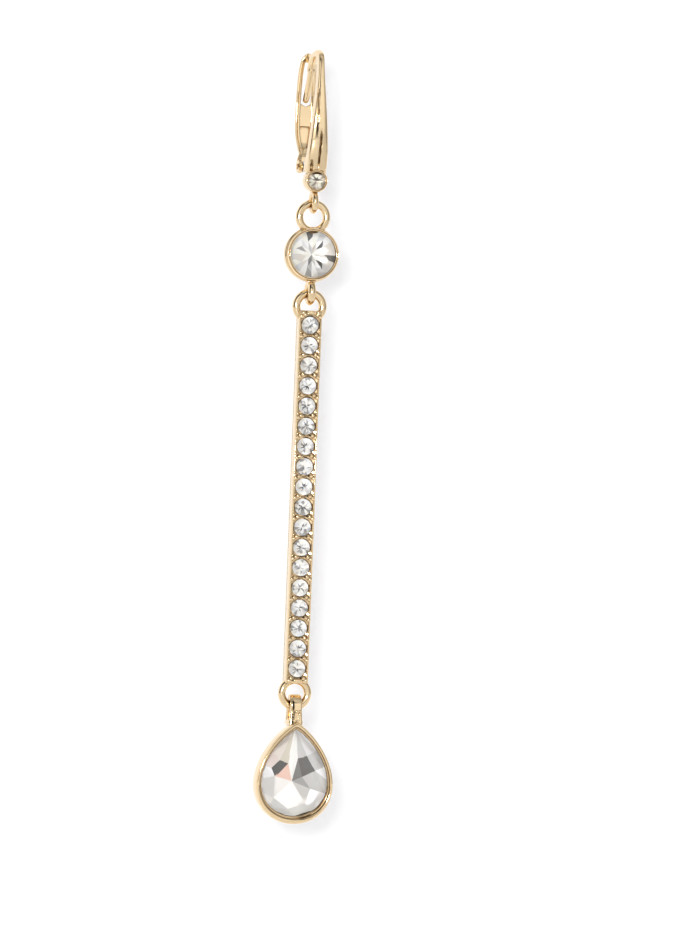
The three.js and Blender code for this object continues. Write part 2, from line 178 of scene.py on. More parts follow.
def ring_wire(shells, centre, opening, wire, edge_on, steps=56, sides=20):
    """A round ring of wire. edge_on turns its opening to the side."""
    reach = (opening + wire) / 2
    across = Vector((0, 1, 0)) if edge_on else Vector((1, 0, 0))
    axis = Vector((1, 0, 0)) if edge_on else Vector((0, 1, 0))
    rings = []
    for i in range(steps):
        turn = 2 * math.pi * i / steps
        out = across * math.cos(turn) + Vector((0, 0, 1)) * math.sin(turn)
        along = axis.cross(out)
        rings.append(circle(centre + out * reach, along, wire / 2, sides, side=out))
    shells.loft(rings, closed=True)


def turned(shells, centre, profile, sides=96):
    """A body turned round an axis from front to back. Profile rows are [radius, depth], and
    its ends close on the axis."""
    rings = []
    for radius, depth in profile:
        rings.append([
            Vector((
                centre.x + radius * math.sin(2 * math.pi * k / sides),
                centre.y + depth,
                centre.z - radius * math.cos(2 * math.pi * k / sides),
            ))
            for k in range(sides)
        ])
    shells.loft(rings)


def rounded(profile, radius, steps=4):
    """Rounds the corners of an open profile of [radius, depth] points."""
    out = [profile[0]]
    for before, corner, after in zip(profile, profile[1:], profile[2:]):
        p, q, r = Vector(before), Vector(corner), Vector(after)
        cut = min(radius, (q - p).length * 0.45, (r - q).length * 0.45)
        a = q + (p - q).normalized() * cut
        b = q + (r - q).normalized() * cut
        for i in range(steps + 1):
            t = i / steps
            out.append(tuple(a * (1 - t) ** 2 + q * 2 * t * (1 - t) + b * t ** 2))
    out.append(profile[-1])
    return out


def rounded_rectangle(width, depth, radius, steps=3):
    """Corner points of a rounded rectangle round the origin, in two numbers each."""
    points = []
    for sx, sy, start in ((1, 1, 0), (-1, 1, 90), (-1, -1, 180), (1, -1, 270)):
        for i in range(steps + 1):
            turn = math.radians(start + 90 * i / steps)
            points.append((
                sx * (width / 2 - radius) + radius * math.cos(turn),
                sy * (depth / 2 - radius) + radius * math.sin(turn),
            ))
    return points


def rounded_bar(shells, low, high, radius):
    """A box with rounded edges, between two corners."""
    centre = (low + high) / 2
    extent = high - low
    rows = [(low.z, radius), (low.z + radius * 0.3, radius * 0.3), (low.z + radius, 0),
            (high.z - radius, 0), (high.z - radius * 0.3, radius * 0.3), (high.z, radius)]
    rings = []
    for z, inset in rows:
        outline = rounded_rectangle(extent.x - 2 * inset, extent.y - 2 * inset, radius * 0.8)
        rings.append([Vector((centre.x + x, centre.y + y, z)) for x, y in outline])
    shells.loft(rings)


def bead(shells, centre, radius, sides=20, rows=7):
    """A round bead, turned from its front to its back."""
    profile = []
    for i in range(rows * 2 + 1):
        turn = math.pi * i / (rows * 2)
        profile.append((max(radius * math.sin(turn), radius * 0.002), -radius * math.cos(turn)))
    turned(shells, centre, profile, sides)


# Finishes

def new_material(name):
    material = bpy.data.materials.new(name)
    material.use_nodes = True
    return material, material.node_tree, material.node_tree.nodes["Principled BSDF"]


def fill(tree, node, inputs):
    """Sets inputs by name or number. An output of another node is linked, not set."""
    for name, value in inputs.items():
        if isinstance(value, bpy.types.NodeSocket):
            tree.links.new(value, node.inputs[name])
        else:
            node.inputs[name].default_value = value


def add(tree, kind, inputs, operation=None):
    node = tree.nodes.new("ShaderNode" + kind)
    if operation:
        node.operation = operation
    fill(tree, node, inputs)
    return node


# Reach of the painted shade in hollows and depths of the surface marks, in metres
HOLLOW_REACH = 0.0004
WAVE_DEPTH = 0.00008
SCRATCH_DEPTH = 0.000006
# Share of each colour that is left of the gold in the deepest hollows, where shade is painted
HOLLOW_SHADE_SHARE = (0.42, 0.31, 0.22)


def gold_finish(name, tone, roughness, wave, scratch):
    """Polished pale gold plating: a slightly deeper tone in patches, a brown painted shade in hollows,
    the soft waves of a polished casting and fine scratches."""
    material, tree, shader = new_material(name)
    place = add(tree, "TexCoord", {}).outputs["Object"]

    def noise(scale, detail):
        return add(tree, "TexNoise", {"Scale": scale, "Detail": detail, "Vector": place}).outputs["Fac"]

    patches = noise(320, 4)
    colour = add(tree, "ValToRGB", {"Fac": patches})
    deep, plain = colour.color_ramp.elements
    deep.position = 0.3
    deep.color = (*(c * 0.96 for c in tone), 1)
    plain.position = 0.7
    plain.color = (*tone, 1)
    # Painted shade: the colour turns a dark brown where ambient occlusion finds a hollow.
    hollow = add(tree, "AmbientOcclusion", {"Distance": HOLLOW_REACH})
    hollow.samples = 8
    depth = add(tree, "MapRange", {"From Min": 0.25, "From Max": 0.8, "Value": hollow.outputs["AO"]})
    painted_hollow_shade = tree.nodes.new("ShaderNodeMix")
    painted_hollow_shade.data_type = "RGBA"
    fill(tree, painted_hollow_shade, {
        "A": (*(c * d for c, d in zip(tone, HOLLOW_SHADE_SHARE)), 1),
        "B": colour.outputs["Color"],
        "Factor": depth.outputs["Result"],
    })
    gloss = add(tree, "MapRange", {
        "To Min": roughness * 0.7, "To Max": roughness * 1.4, "Value": patches,
    })
    waves = add(tree, "Bump", {"Strength": wave, "Distance": WAVE_DEPTH, "Height": noise(900, 1)})
    scratches = add(tree, "Bump", {
        "Strength": scratch, "Distance": SCRATCH_DEPTH, "Height": noise(9000, 3),
        "Normal": waves.outputs["Normal"],
    })
    fill(tree, shader, {
        "Metallic": 1.0,
        "Base Color": painted_hollow_shade.outputs["Result"],
        "Roughness": gloss.outputs["Result"],
        "Normal": scratches.outputs["Normal"],
    })
    return material


def facet_colour(tree):
    reflection_shade = tree.nodes.new("ShaderNodeVertexColor")
    reflection_shade.layer_name = "facet"
    return reflection_shade.outputs["Color"]


def crystal_finish():
    """Clear cut crystal, seen through its crown."""
    material, tree, shader = new_material("crystal_crown")
    fill(tree, shader, {
        "Transmission Weight": 1.0, "Roughness": 0.0, "IOR": 1.3, "Base Color": facet_colour(tree),
    })
    return material


def glowing_foil_finish():
    """Silver foil on the back facets of the crystals, with a faint painted glow in each facet's painted
    reflection shade.
    """
    material, tree, shader = new_material("crystal_glowing_foil")
    # The emission is a painted glow in each foil facet's painted reflection shade.
    fill(tree, shader, {
        "Metallic": 0.55, "Roughness": 0.15, "Base Color": facet_colour(tree),
        "Emission Strength": 0.2, "Emission Color": facet_colour(tree),
    })
    return material


gold = gold_finish("polished_gold", (0.86, 0.665, 0.405), roughness=0.07, wave=0.26, scratch=0.2)
# A dark brown copy of the gold, for painted shade inside the bezels, in the arm's grooves and round the
# pear's rim.
painted_shade_gold = gold_finish("painted_shade_gold", (0.3, 0.19, 0.09), roughness=0.2, wave=0.5, scratch=0.4)
crown = crystal_finish()
glowing_foil = glowing_foil_finish()

draw = random.Random(7)


def dress(piece, body, slot_name, *nodes):
    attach(piece, body)
    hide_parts(*nodes)
    return piece


# Cut stones

def paint_facet_reflections(piece, reflection_shades):
    """Gives every face a colour of its own: clear white for the glass, a painted reflection shade for each
    foil facet.
    """
    mesh = piece.data
    layer = mesh.color_attributes.new("facet", "FLOAT_COLOR", "CORNER")
    for polygon, reflection_shade in zip(mesh.polygons, reflection_shades):
        polygon.material_index = 0 if reflection_shade is None else 1
        colour = (1, 1, 1) if reflection_shade is None else reflection_shade
        for corner in polygon.loop_indices:
            layer.data[corner].color = (*colour, 1)


def stone_piece(name, node, body, outline, layers, sides, foil_faces):
    """A cut crystal: a clear body with a sheet of silvered facets inside its back, painted with reflections.
    Each layer row is [share, depth, turn]. Each foil face is (corners, painted reflection shade), a corner
    being (angle, share, depth)."""
    low, high = box(node)
    height = high.y - low.y

    def corner(angle, share, depth):
        x, z = outline(angle, share)
        return Vector((x, low.y + depth * height, z))

    shells = Shells()
    shells.hull([
        corner(2 * math.pi * (k + turn) / sides, share, depth)
        for share, depth, turn in layers
        for k in range(sides)
    ])
    reflection_shades = [None] * len(shells.faces)
    for corners, reflection_shade in foil_faces:
        start = len(shells.points)
        shells.points.extend(corner(*at) for at in corners)
        shells.faces.append(tuple(range(start, start + len(corners))))
        reflection_shades.append(reflection_shade)
    piece = make_mesh(name, shells, 0, recalculate=False)
    piece.data.materials.append(crown)
    piece.data.materials.append(glowing_foil)
    paint_facet_reflections(piece, reflection_shades)
    return dress(piece, body, "crystal", node)


def round_outline(node):
    centre = middle(node)
    radius = size(node).x / 2

    def outline(angle, share):
        return (centre.x + radius * share * math.sin(angle), centre.z - radius * share * math.cos(angle))

    return outline


def grey(shade, tone=0.0):
    """A near-white: tone above 0 is warmer, below 0 is cooler."""
    return (min(shade * (1.01 + 0.05 * tone), 1), shade * 0.985, shade * (0.95 - 0.06 * tone))


def star_foil(points, inner, outer):
    """Silvered facets in a star: inner kites round the middle and outer triangles to the girdle.
    The shades are painted reflections, read round the stone from its lowest point."""
    faces = []
    step = 2 * math.pi / points
    # share of the radius and depth of the kites' sides, their tips, the mains and the girdle
    near, far, main, girdle = (0.26, 0.54), (0.52, 0.5), (0.72, 0.44), (1.0, 0.36)
    centre = (0, 0.0, 0.62)
    for k in range(points):
        here, there = k * step, (k + 1) * step
        half = here + step / 2
        tip = (half, *far)
        left, right = (here, *near), (there, *near)
        low, high = (here, *main), (there, *main)
        faces.append(([centre, left, tip, right], inner[k % len(inner)]))
        faces.append(([left, low, tip], outer[(3 * k) % len(outer)]))
        faces.append(([tip, high, right], outer[(3 * k + 1) % len(outer)]))
        faces.append(([low, (here, *girdle), (half, *girdle), tip], outer[(3 * k + 2) % len(outer)]))
        faces.append(([tip, (half, *girdle), (there, *girdle), high], outer[(5 * k + 1) % len(outer)]))
    return faces


def drawn(shades, count, warmth=0.0):
    return [grey(draw.choice(shades), draw.uniform(-1, 1) + warmth) for _ in range(count)]


# Round cut: share of the radius, depth and turn of each ring of corners, from the table back
BRILLIANT = [
    (0.56, 0.0, 0.5),
    (0.8, 0.13, 0.0),
    (1.0, 0.26, 0.0),
    (1.0, 0.26, 0.5),
    (1.0, 0.33, 0.0),
    (1.0, 0.33, 0.5),
    (0.5, 0.76, 0.0),
    (0.03, 1.0, 0.0),
]
# Painted reflection shades of the small stones' foil: the kites round the middle, then the facets outside
# them
FLECK_REFLECTIONS = (0.12, 0.3, 0.6, 0.9, 1.0)
SMALL_REFLECTION_SHADES = (0.4, 0.75, 0.95, 1.0, 1.0, 1.0, 1.0)

# The foil facets get painted reflection shades, drawn at random from these lists.
stone_piece("hook_crystal", "hook_stone", "hook", round_outline("hook_stone"), BRILLIANT, 8,
            star_foil(8, drawn(FLECK_REFLECTIONS, 8, 2.2), drawn(SMALL_REFLECTION_SHADES, 15, 2.2)))
stone_piece("connector_crystal", "connector_stone", "connector", round_outline("connector_stone"),
            BRILLIANT, 8, star_foil(10, drawn((0.3, 0.6, 1.0, 1.0), 10, 0.4),
                                     drawn((0.16, 0.45, 0.8, 1.0, 1.0), 27, 0.4)))
for node in bar_stones:
    stone_piece(node.replace("stone", "crystal"), node, "bar", round_outline(node), BRILLIANT, 8,
                star_foil(8, drawn(FLECK_REFLECTIONS, 8), drawn(SMALL_REFLECTION_SHADES, 17)))


# Pear outline

# How pointed the pear is, and how far below its middle its facets gather, as a share of its height
PEAR_POINT = 0.62
PEAR_FOCUS = 0.1


def pear_outline(low, high):
    """Pear between two corners, as [x, z] for an angle from its foot and a share."""
    width = high.x - low.x
    height = high.z - low.z
    centre = (low + high) / 2
    fullest = math.atan(1 / math.sqrt(1 + PEAR_POINT))
    widest = math.sin(2 * fullest) * math.cos(fullest) ** PEAR_POINT

    def outline(angle, share):
        taper = abs(math.cos(angle / 2)) ** PEAR_POINT
        x = width / 2 * math.sin(angle) * taper / widest
        z = -height / 2 * math.cos(angle)
        focus = -height * PEAR_FOCUS
        return (centre.x + x * share, centre.z + focus + (z - focus) * share)

    return outline


def pear_foil(half_width, height):
    """Silvered facets of the pear, each painted with a reflection shade: a long kite down from its point,
    two dark facets beside it, a grey one at the lower right and a wide pale one below. Corners are
    [across, down] as shares of the half width and the height, turned into an angle and a share of the
    outline."""
    outline = pear_outline(Vector((-half_width, 0, -height / 2)), Vector((half_width, 0, height / 2)))
    focus = outline(0, 0)[1]

    def polar(across, down):
        x = across * half_width
        z = height / 2 - down * height - focus
        angle = math.atan2(x, -z) % (2 * math.pi)
        want = math.hypot(x, z)
        # the outline's angle is not quite the direction from the focus, so it is searched
        best = (1e9, 0.0, 0.0)
        for i in range(721):
            turn = 2 * math.pi * i / 720
            ox, oz = outline(turn, 1.0)
            reach = math.hypot(ox, oz - focus)
            error = abs((math.atan2(ox, -(oz - focus)) - angle + math.pi) % (2 * math.pi) - math.pi)
            if error < best[0]:
                best = (error, turn, want / reach)
        return best[1], best[2]

    table = [
        ("tip", 0.0, 0.0, 0.36), ("left_rim_top", -0.45, 0.11, 0.36),
        ("right_rim_top", 0.45, 0.11, 0.36), ("kite_left", -0.15, 0.4, 0.56),
        ("kite_right", 0.13, 0.34, 0.56),
        ("kite_foot", -0.02, 0.6, 0.6), ("left_rim_high", -0.65, 0.25, 0.36),
        ("right_rim_high", 0.65, 0.25, 0.36), ("left_low", -0.62, 0.46, 0.46),
        ("left_mid", -0.38, 0.37, 0.5), ("left_foot", -0.5, 0.55, 0.54), ("right_mid", 0.36, 0.32, 0.5),
        ("right_low", 0.6, 0.48, 0.46), ("right_foot", 0.52, 0.68, 0.53), ("right_in", 0.28, 0.55, 0.6),
        ("pale_foot", -0.1, 0.9, 0.5), ("pale_left", -0.52, 0.78, 0.51), ("pale_right", 0.38, 0.84, 0.5),
        ("rim_left_a", -0.95, 0.42, 0.36), ("rim_left_b", -1.1, 0.58, 0.36),
        ("rim_left_c", -1.1, 0.74, 0.36), ("rim_left_d", -0.8, 0.95, 0.36),
        ("rim_foot", -0.05, 1.1, 0.36), ("rim_right_d", 0.8, 0.95, 0.36),
        ("rim_right_c", 1.1, 0.75, 0.36), ("rim_right_b", 1.1, 0.58, 0.36),
        ("rim_right_a", 0.95, 0.42, 0.36),
    ]
    at = {}
    for name, across, down, depth in table:
        angle, share = polar(across, down)
        at[name] = (angle, min(share, 1.0), depth)
    # Each facet with its painted reflection shade.
    facets = [
        ("tip kite_right kite_foot kite_left", grey(1.0, 0.2)),
        ("tip kite_left left_mid", (0.72, 0.66, 0.55)),
        ("tip left_mid left_rim_high left_rim_top", (0.86, 0.78, 0.7)),
        ("tip right_mid kite_right", grey(0.62, 0.0)),
        ("tip right_rim_top right_rim_high right_mid", grey(0.82, -0.4)),
        ("left_mid kite_left left_foot left_low", grey(0.13, 0.3)),
        ("kite_left kite_foot left_foot", (0.95, 0.66, 0.54)),
        ("kite_right right_mid right_low right_in", grey(0.17, 0.4)),
        ("kite_right right_in kite_foot", grey(0.26, 0.2)),
        ("kite_foot right_in right_low right_foot", grey(0.62, 0.1)),
        ("left_foot kite_foot right_foot pale_right pale_foot pale_left", grey(0.97, 0.3)),
        ("left_rim_high left_mid left_low rim_left_a", (0.88, 0.76, 0.7)),
        ("rim_left_a left_low left_foot rim_left_b", grey(1.0, -0.5)),
        ("rim_left_b left_foot pale_left rim_left_c", grey(0.88, 0.0)),
        ("rim_left_c pale_left rim_left_d", grey(1.0, 0.0)),
        ("rim_left_d pale_left pale_foot rim_foot", grey(1.0, 0.0)),
        ("rim_foot pale_foot pale_right rim_right_d", grey(1.0, 0.3)),
        ("rim_right_d pale_right right_foot rim_right_c", grey(1.0, -0.4)),
        ("rim_right_c right_foot right_low rim_right_b", grey(0.62, 0.0)),
        ("rim_right_b right_low rim_right_a", grey(1.0, -0.5)),
        ("rim_right_a right_low right_mid right_rim_high", grey(0.66, -0.2)),
    ]
    return [([at[name] for name in names.split()], reflection_shade) for names, reflection_shade in facets]


pear_box = box("pear_stone")
stone_piece("pear_crystal", "pear_stone", "drop", pear_outline(*pear_box), [
    (0.6, 0.0, 0.5),
    (0.8, 0.11, 0.0),
    (1.0, 0.26, 0.0),
    (1.0, 0.26, 0.5),
    (1.0, 0.31, 0.0),
    (1.0, 0.31, 0.5),
    (0.52, 0.72, 0.0),
    (0.04, 1.0, 0.0),
], 12, pear_foil((pear_box[1].x - pear_box[0].x) / 2, pear_box[1].z - pear_box[0].z))


# Settings

# Edges that turn by more degrees than this stay sharp in the gold
SHARP_EDGE = 38


def cup_rows(outer, rim, rim_height, back, depth, opening, stone_radius, stone_depth):
    """Round cup from the middle of its back, round the outside, over the rim and down the seat."""
    girdle = stone_depth * 0.27
    outside = [
        (0.01, depth),
        (back * 0.9, depth),
        (back, depth - 0.14),
        (outer, rim_height + (depth - rim_height) * 0.45),
        (outer, rim_height + 0.06),
        (rim + (outer - rim) * 0.6, rim_height),
        (rim, rim_height * 0.94),
        (rim, 0.16),
        (rim - 0.07, 0.0),
        (rim - (rim - opening) * 0.48, 0.02),
        (rim - (rim - opening) * 0.58, 0.13),
        (rim - (rim - opening) * 0.68, 0.05),
        (opening + 0.02, 0.07),
        (opening, 0.14),
        (opening, girdle * 0.9),
    ]
    inside = [
        (stone_radius + 0.03, girdle * 0.95),
        (stone_radius + 0.03, girdle * 1.5),
        (stone_radius * 0.5, stone_depth * 0.82),
        (0.01, stone_depth * 1.04),
    ]
    return rounded(outside, 0.07) + inside


def gold_piece(name, shells, body, *nodes):
    piece = make_mesh(name, shells, SHARP_EDGE)
    piece.data.materials.append(gold)
    return dress(piece, body, "gold_plate", *nodes)


def shade(piece, test):
    """Gives the faces that a test of their place and direction picks the dark gold of painted shade."""
    piece.data.materials.append(painted_shade_gold)
    for polygon in piece.data.polygons:
        if test(polygon.center / MM, polygon.normal):
            polygon.material_index = len(piece.data.materials) - 1


def inside_ring(centre, radius):
    """Picks the wall inside a round bezel's opening, where shade is painted."""
    return lambda at, out: (math.hypot(at.x - centre.x, at.z - centre.z) < radius
                            and 0.1 < at.y - centre.y < 1.0)


def cup_front(node):
    centre = middle(node)
    low, _ = box(node)
    return Vector((centre.x, low.y, centre.z))


def connector_setting():
    shells = Shells()
    stone = size("connector_stone")
    at = cup_front("connector_stone")
    outer = (connector_high.x - connector_low.x) / 2
    turned(shells, at, cup_rows(outer, rim=2.83, rim_height=0.8, back=2.45, depth=2.6, opening=2.5,
                                stone_radius=stone.x / 2, stone_depth=stone.y))
    hang = pivot_of("connector_swing")
    wire = 0.84
    opening = 2.14
    loop_middle = Vector((0, hang.y, connector_high.z - wire - opening / 2))
    ring_wire(shells, loop_middle, opening, wire, False)
    ring = 0.85
    hole = 1.15
    centre = Vector((0, hang.y, connector_low.z + ring + hole / 2))
    ring_wire(shells, centre, hole, ring, True)
    rounded_bar(shells, Vector((-ring / 2, hang.y - ring, centre.z + (hole + ring) / 2)),
                Vector((ring / 2, hang.y + ring, at.z - outer + 0.2)), 0.12)
    piece = gold_piece("connector_casting", shells, "connector", "connector_setting")
    # Painted shade on the wall inside the bezel's opening.
    shade(piece, inside_ring(at, 2.53))


connector_setting()


PEAR_HEIGHT = 11.0
# Row of the rim's sections where the fine painted shade line inside it starts
RIM_SHADE_ROW = 15


def pear_setting():
    shells = Shells()
    stone_low, stone_high = box("pear_stone")
    lip = 0.12
    front = stone_low.y
    depth = 3.2
    hang = pivot_of("pear_swing")
    bezel_top = pear_low.z + PEAR_HEIGHT
    outside = pear_outline(Vector((pear_low.x, 0, pear_low.z)), Vector((pear_high.x, 0, bezel_top)))
    margin = Vector((lip, 0, lip))
    inside = pear_outline(stone_low + margin, stone_high - margin)
    seat = pear_outline(stone_low - Vector((0.03, 0, 0.03)), stone_high + Vector((0.03, 0, 0.03)))
    stone_depth = stone_high.y - stone_low.y
    sides = 160

    def ring(mix, share, level):
        points = []
        for k in range(sides):
            angle = 2 * math.pi * k / sides
            ax, az = outside(angle, share)
            bx, bz = inside(angle, 1.0)
            points.append(Vector((ax + (bx - ax) * mix, front + level, az + (bz - az) * mix)))
        return points

    # mix from the outside to the opening, share of the outside, depth behind the front
    rows = [
        (0.0, 0.05, depth), (0.0, 0.84, depth), (0.0, 0.9, depth - 0.05), (0.0, 0.92, depth - 0.16),
        (0.0, 0.97, depth - 0.7), (0.0, 0.995, 1.95), (0.0, 1.0, 1.7), (0.0, 1.0, 0.5),
        (0.02, 1.0, 0.34), (0.09, 1.0, 0.2), (0.12, 1.0, 0.19), (0.16, 1.0, 0.13), (0.22, 1.0, 0.04),
        (0.32, 1.0, 0.0), (0.46, 1.0, 0.0), (0.58, 1.0, 0.05), (0.66, 1.0, 0.15), (0.7, 1.0, 0.24),
        (0.78, 1.0, 0.26), (0.86, 1.0, 0.23), (0.95, 1.0, 0.27), (1.0, 1.0, 0.36), (1.0, 1.0, 0.6),
    ]
    rings = [ring(*row) for row in rows]
    wall = (len(rows) - 3) * sides
    for share, level in ((1.0, 0.7), (1.0, 1.0), (0.52, 0.8 * stone_depth), (0.03, 1.05 * stone_depth)):
        rings.append([
            Vector((x, front + level, z))
            for x, z in (seat(2 * math.pi * k / sides, share) for k in range(sides))
        ])
    shells.loft(rings)
    thickness = 0.66
    opening = 1.16
    width = 1.25
    reach = (opening + thickness) / 2
    loop = Vector((0, hang.y, pear_high.z - thickness - opening / 2))
    foot = bezel_top - 0.4
    path = [(-reach - 0.08, foot), (-reach, (loop.z + foot) / 2 + 0.3)]
    path += [(-reach * math.cos(math.pi * i / 24), loop.z + reach * math.sin(math.pi * i / 24))
             for i in range(25)]
    path += [(reach, (loop.z + foot) / 2 + 0.3), (reach + 0.08, foot)]
    rings = []
    for i, (y, z) in enumerate(path):
        before, after = path[max(i - 1, 0)], path[min(i + 1, len(path) - 1)]
        along = Vector((0, after[0] - before[0], after[1] - before[1])).normalized()
        out = Vector((0, -along.z, along.y))
        spread = 1 + 0.16 * max(0, (loop.z - z) / (loop.z - foot)) ** 1.5
        rings.append([
            Vector((x, loop.y + y, z)) + out * n
            for x, n in rounded_rectangle(width * spread, thickness, 0.17, 4)
        ])
    shells.loft(rings)
    deep = opening / 2 + thickness
    rounded_bar(shells, Vector((-0.775, hang.y - deep, bezel_top - 0.5)),
                Vector((0.775, hang.y + deep, bezel_top + 0.22)), 0.2)
    # small grains on the foot of the bail
    for i in range(5):
        for side in (-1, 0, 1):
            radius = draw.uniform(0.1, 0.17)
            bead(shells, Vector((side * 0.36 + draw.uniform(-0.08, 0.08), hang.y - deep + 0.04,
                                 bezel_top + 0.12 + 0.26 * i + draw.uniform(-0.06, 0.06))), radius)
    piece = gold_piece("pear_casting", shells, "drop", "pear_setting")
    # Painted shade: the dark gold on a fine line in the rim and on the wall round the stone.
    piece.data.materials.append(painted_shade_gold)
    shade_line = RIM_SHADE_ROW * sides
    for start, end in ((shade_line, shade_line + 2 * sides), (wall, wall + 5 * sides)):
        for polygon in piece.data.polygons[start:end]:
            polygon.material_index = 1


pear_setting()


# Beads at each end of the bar: place across, depth behind the face, drift up and radius
END_BEADS = [
    (0.82, 0.1, 0.0, 0.29),
    (0.3, 0.16, 0.05, 0.16),
]

# Grains beside each crossbar: place across, its drift, depth, rise and radius
GRAINS = [
    (1.0, 0.03, 0.06, -0.13, 0.24),
    (0.68, 0.04, 0.06, 0.08, 0.23),
    (1.02, 0.0, 0.08, 0.22, 0.14),
]

# Section of the plate round a stone: scale, depth, and whether it follows the square outside
PLATE = [
    (1.0, 0.42, False),
    (1.03, 0.3, False),
    (1.0, 0.24, True),
    (1.0, 0.9, True),
    (1.03, 0.9, False),
]


def bar_setting():
    shells = Shells()
    centres = [middle(node) for node in bar_stones]
    pitch = centres[0].z - centres[1].z
    face = box(bar_stones[0])[0].y + 0.12
    top_wire, foot_wire, opening = 0.9, 0.84, 2.0
    hang = pivot_of("bar_swing")
    top = Vector((0, hang.y, bar_high.z - top_wire - opening / 2))
    foot = Vector((0, hang.y, bar_low.z + foot_wire + opening / 2))
    ring_wire(shells, top, opening, top_wire, False)
    ring_wire(shells, foot, opening, foot_wire, False)
    half = 2.45 / 2
    depth = 1.9
    radius = 0.99
    end = 0.58
    high = centres[0].z + radius + end
    low = centres[-1].z - radius - end
    rail = 0.17
    floor = face + 1.25
    rounded_bar(shells, Vector((-half, floor, low)), Vector((half, face + depth, high)), 0.1)
    for side in (-1, 1):
        edges = sorted((side * half, side * (half - rail)))
        rounded_bar(shells, Vector((edges[0], face + 0.02, low)), Vector((edges[1], floor + 0.2, high)), 0.06)
    bars = [centres[0].z + pitch / 2] + [c.z - pitch / 2 for c in centres]
    for z_low, z_high in ((bars[0] + 0.04, high), (low, bars[-1] - 0.04)):
        rounded_bar(shells, Vector((-half + rail * 0.6, face + 0.05, z_low)),
                    Vector((half - rail * 0.6, floor + 0.2, z_high)), 0.08)
    for z in (high - 0.26, low + 0.26):
        for side in (-1, 1):
            for out, behind, drift, reach in END_BEADS:
                bead(shells, Vector((side * out, face + behind, z + side * drift)), reach)
    for z in bars:
        for side in (-1, 1):
            lift = draw.uniform(-0.04, 0.04)
            for out, drift, behind, rise, reach in GRAINS:
                x = side * (out + draw.uniform(-drift, drift))
                bead(shells, Vector((x, face + behind, z + rise + lift)), reach)
    for centre in centres:
        # a plate with a round hole and a cut edge round each stone
        rings = []
        sides = 64
        for scale, behind, square in PLATE:
            ring = []
            for k in range(sides):
                x, z = math.sin(2 * math.pi * k / sides), -math.cos(2 * math.pi * k / sides)
                reach = 1 / max(abs(x), abs(z))
                half_x, half_z = (half - rail, pitch / 2) if square else (radius, radius)
                grow = reach if square else 1
                ring.append(Vector((x * scale * half_x * grow, face + behind,
                                    centre.z + z * scale * half_z * grow)))
            rings.append(ring)
        shells.loft(rings, closed=True)
    gold_piece("bar_casting", shells, "bar", "bar_setting")


bar_setting()


def squared(angle, power):
    """A point on a rounded rectangle of half size 1. Power 1 is a circle and less is squarer."""
    c, s = math.cos(angle), math.sin(angle)
    return math.copysign(abs(c) ** power, c), math.copysign(abs(s) ** power, s)


def even(points, count):
    """Points at even distances round a closed outline."""
    lengths = [0.0]
    for a, b in zip(points, points[1:] + points[:1]):
        lengths.append(lengths[-1] + math.dist(a, b))
    out = []
    i = 0
    for k in range(count):
        want = lengths[-1] * k / count
        while lengths[i + 1] < want:
            i += 1
        t = (want - lengths[i]) / (lengths[i + 1] - lengths[i])
        a, b = points[i], points[(i + 1) % len(points)]
        out.append((a[0] + (b[0] - a[0]) * t, a[1] + (b[1] - a[1]) * t))
    return out


# How far the arm's face falls off to its edges, as a share of its width
FACE_CROWN = 0.06


# Slim grooves in the arm's face: upper and lower height, the places across at both as shares of
# the half width, half width and depth
GROOVES = [
    (-3.6, -7.6, -0.66, -0.36, 0.08, 0.1),
    (-8.3, -12.2, 0.2, 0.05, 0.1, 0.2),
    (-11.5, -12.35, -0.66, -0.52, 0.13, 0.2),
]


def arm_width(z):
    """Rough width of the arm's face at a height."""
    return ARM_TOP_WIDTH + (ARM_FOOT_WIDTH - ARM_TOP_WIDTH) * min(1.0, (-z / ARM_DROP) ** 1.2 * 1.1)


def groove(x, z):
    """How deep the grooves are at a point of the arm's face."""
    deepest = 0.0
    for high, low, place_high, place_low, half, depth in GROOVES:
        down = (high - z) / (high - low)
        if 0 < down < 1:
            place = (place_high + (place_low - place_high) * down) * arm_width(z) / 2
            fade = min(1.0, down * 5, (1 - down) * 5)
            deepest = max(deepest, depth * fade * math.exp(-((x - place) / half) ** 4))
    return deepest


def arm_section(width, depth, power, z, sides):
    """A rounded rectangle, in [across, outward], with a slightly crowned outer face."""
    outline = []
    fine = 480
    for k in range(fine):
        across, deep = squared(2 * math.pi * (k + 0.5) / fine, power)
        outward = deep * depth / 2 - FACE_CROWN * width * across ** 2 * max(deep, 0) * (1 - power)
        outline.append((across * width / 2, outward))
    return [(x, n - (groove(x, z) if n > depth * 0.3 else 0)) for x, n in even(outline, sides)]


def arm_loft(shells, rows, sides=132):
    """Sections across a line in the side plane. A row is [y, z, width, depth, power]."""
    fine = spline(rows, 12)
    rings = []
    for i, (y, z, w, d, power) in enumerate(fine):
        before, after = fine[max(i - 1, 0)], fine[min(i + 1, len(fine) - 1)]
        along = Vector((0, after[0] - before[0], after[1] - before[1])).normalized()
        out = Vector((0, -along.z, along.y))
        rings.append([Vector((across, y, z)) + out * outward
                      for across, outward in arm_section(w, d, power, z, sides)])
    shells.loft(rings)


ARM_DROP = 13.0
ARM_BOW = 0.83
ARM_TOP_WIDTH = 0.68
ARM_FOOT_WIDTH = 2.25
ARM_DEPTH = 1.5
ARM_FOOT_DEPTH = 2.5
NECK_DEPTH = 1.2
CREST = 2.2
# Reach back, drop and thickness of the shoulder and of the wire's tip
SHOULDER = (4.9, 1.9, 0.86)
WIRE = (7.2, 4.95, 0.72)
# Width and radius
LUG = (0.9, 0.64)

